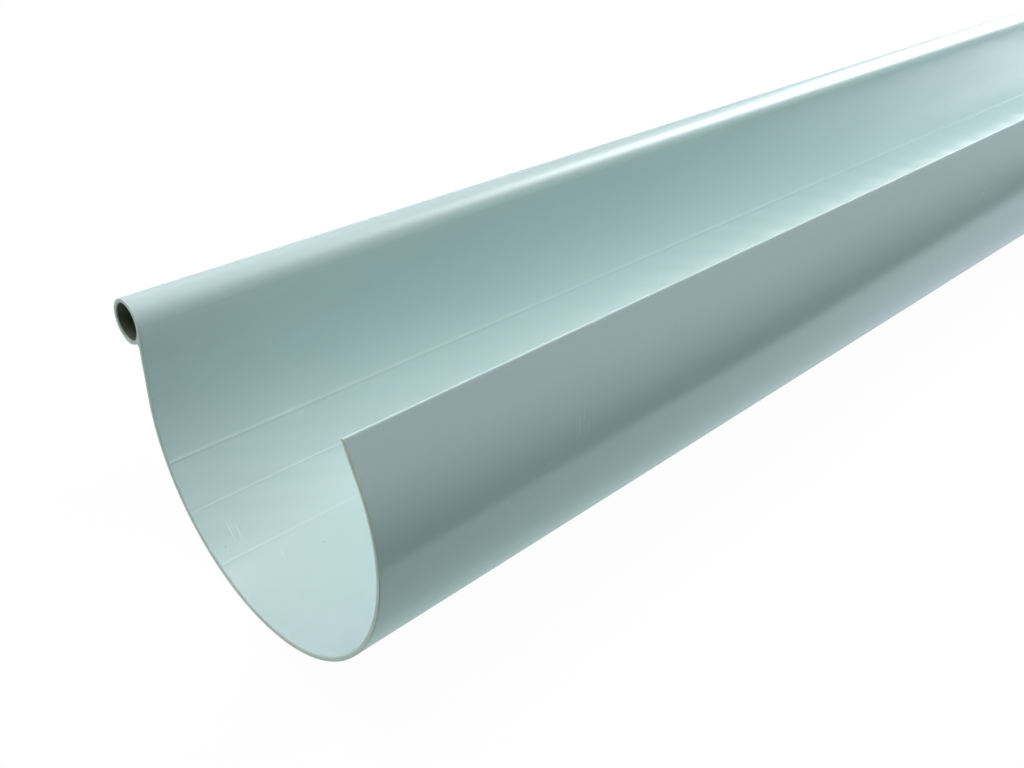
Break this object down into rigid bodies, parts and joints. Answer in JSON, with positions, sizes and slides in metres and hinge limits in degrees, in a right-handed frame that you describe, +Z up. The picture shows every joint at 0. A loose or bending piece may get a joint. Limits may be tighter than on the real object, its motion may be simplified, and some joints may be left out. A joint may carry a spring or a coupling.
{
  "type": "half-round rain gutter section",
  "caption": "Straight length of deep half-round rain gutter with a hollow round bead along the front and a plain back edge; catches roof run-off.",
  "frame": {"origin": "on the floor, in the middle of the width and the length the piece takes up as it lies", "axes": "+Z up as the piece lies unheld on its round bottom, +Y along the length, -X towards the beaded front edge, +X towards the plain back edge"},
  "size_m": [0.1484, 2, 0.118],
  "materials": {
    "grey_pvc": "semi-gloss"
  },
  "bodies": {
    "root": {"gutter_section": "grey_pvc"}
  },
  "joints": []
}
